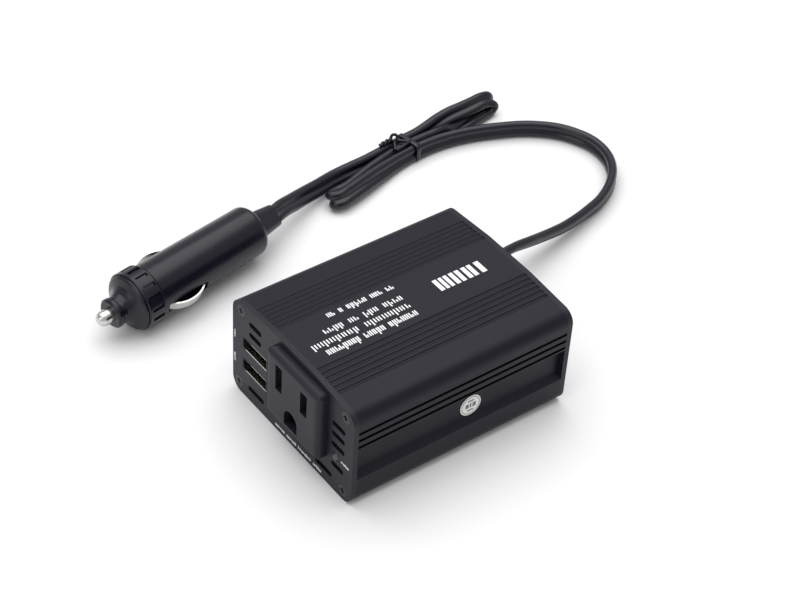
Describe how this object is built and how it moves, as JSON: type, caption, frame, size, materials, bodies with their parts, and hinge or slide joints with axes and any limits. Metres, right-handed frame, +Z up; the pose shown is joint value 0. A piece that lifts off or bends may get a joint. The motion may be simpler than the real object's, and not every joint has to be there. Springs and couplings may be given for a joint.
{
  "type": "power inverter",
  "caption": "Pocket 12 V power inverter: black extruded housing with a mains outlet and USB sockets, and a tied flat cord to a vehicle plug.",
  "frame": {"origin": "on the supporting surface, under the middle of the housing with its outlet", "axes": "+Z up, +Y to the rear panel where the cord leaves, +X to the right seen from the front"},
  "size_m": [0.1355, 0.1979, 0.0375],
  "materials": {
    "anodised_aluminium": "black anodised, satin",
    "black_panel": "satin moulded plastic",
    "black_plastic": "glossy moulded plastic",
    "black_pvc": "flexible satin PVC",
    "black_steel": "blackened steel",
    "zinc_steel": "zinc plated steel",
    "nickel": "nickel plated brass or spring steel",
    "brass": "bright brass",
    "label_paper": "matt paper",
    "lens": "clear resin",
    "board": "green solder-masked laminate",
    "ferrite": "matt ferrite",
    "bobbin": "black moulded plastic",
    "winding": "taped copper winding",
    "copper": "enamelled copper wire",
    "blue_can": "blue sleeved can",
    "green_can": "green sleeved can",
    "chip": "moulded epoxy",
    "fuse_plastic": "orange moulded plastic",
    "pad": "grey silicone",
    "fan_plastic": "black moulded plastic",
    "red_wire": "coloured PVC insulation",
    "fuse_glass": "glass tube with metal caps"
  },
  "bodies": {
    "inverter": {"shell": "anodised_aluminium", "front_panel": "black_panel", "rear_panel": "black_panel", "front_screws": "black_steel", "rear_screws": "black_steel", "label_disc": "label_paper", "outlet_body": "black_panel", "outlet_cover": "black_panel", "line_contact": "brass", "neutral_contact": "brass", "ground_contact": "brass", "outlet_leads": "copper", "usb_upper_shell": "nickel", "usb_lower_shell": "nickel", "usb_upper_tongue": "black_panel", "usb_lower_tongue": "black_panel", "usb_upper_contacts": "brass", "usb_lower_contacts": "brass", "usb_board": "board", "usb_header": "brass", "power_led": "lens", "main_board": "board", "transformer_core": "ferrite", "transformer_bobbin": "bobbin", "transformer_winding": "winding", "bulk_capacitor": "blue_can", "input_capacitors": "green_can", "output_choke": "copper", "control_chip": "chip", "alarm_buzzer": "chip", "board_fuse": "fuse_plastic", "left_transistors": "chip", "right_transistors": "chip", "left_pad": "pad", "right_pad": "pad", "left_clamp": "zinc_steel", "right_clamp": "zinc_steel", "clamp_screws": "zinc_steel", "fan_frame": "fan_plastic", "fan_stator": "copper", "fan_screws": "black_steel", "fan_leads": "red_wire", "input_leads": "red_wire", "cord_boot": "black_pvc", "cord_lead": "black_pvc", "cord_hank": "black_pvc", "cord_tail": "black_pvc", "twist_tie": "black_pvc", "plug_relief": "black_pvc", "plug_barrel": "black_plastic", "fuse_spring": "zinc_steel", "plug_terminal": "brass", "plug_leads": "red_wire"},
    "nose": {"plug_nose": "black_plastic"},
    "ring": {"plug_ring": "black_plastic"},
    "pin": {"centre_pin": "nickel", "plug_fuse": "fuse_glass"},
    "lower_contact": {"lower_side_contact": "nickel"},
    "upper_contact": {"upper_side_contact": "nickel"},
    "fan": {"fan_rotor": "fan_plastic"}
  },
  "joints": [
    {"name": "nose_slide", "type": "slide", "parent": "inverter", "child": "nose", "axis": [0.1822, -0.9833, 0], "range_m": [0, 0.0045]},
    {"name": "ring_turn", "type": "hinge", "parent": "nose", "child": "ring", "pos_m": [-0.07091, -0.04798, 0.0101], "axis": [0.1822, -0.9833, 0], "range_deg": [0, 1080]},
    {"name": "pin_press", "type": "slide", "parent": "nose", "child": "pin", "axis": [-0.1822, 0.9833, 0], "range_m": [0, 0.0025], "stiffness_N_per_m": 800, "springref_m": -0.002, "deforming": ["fuse_spring"]},
    {"name": "lower_contact_press", "type": "slide", "parent": "inverter", "child": "lower_contact", "axis": [-0.9498, -0.176, 0.2588], "range_m": [0, 0.0016], "stiffness_N_per_m": 600, "springref_m": -0.001},
    {"name": "upper_contact_press", "type": "slide", "parent": "inverter", "child": "upper_contact", "axis": [0.9498, 0.176, -0.2588], "range_m": [0, 0.0016], "stiffness_N_per_m": 600, "springref_m": -0.001},
    {"name": "fan_spin", "type": "hinge", "parent": "inverter", "child": "fan", "pos_m": [0.008, 0.036, 0.01875], "axis": [0, 1, 0], "continuous": true}
  ],
  "couplings": [
    {"joint": "ring_turn", "follows": "nose_slide", "rad_per_m": 4188.8}
  ]
}
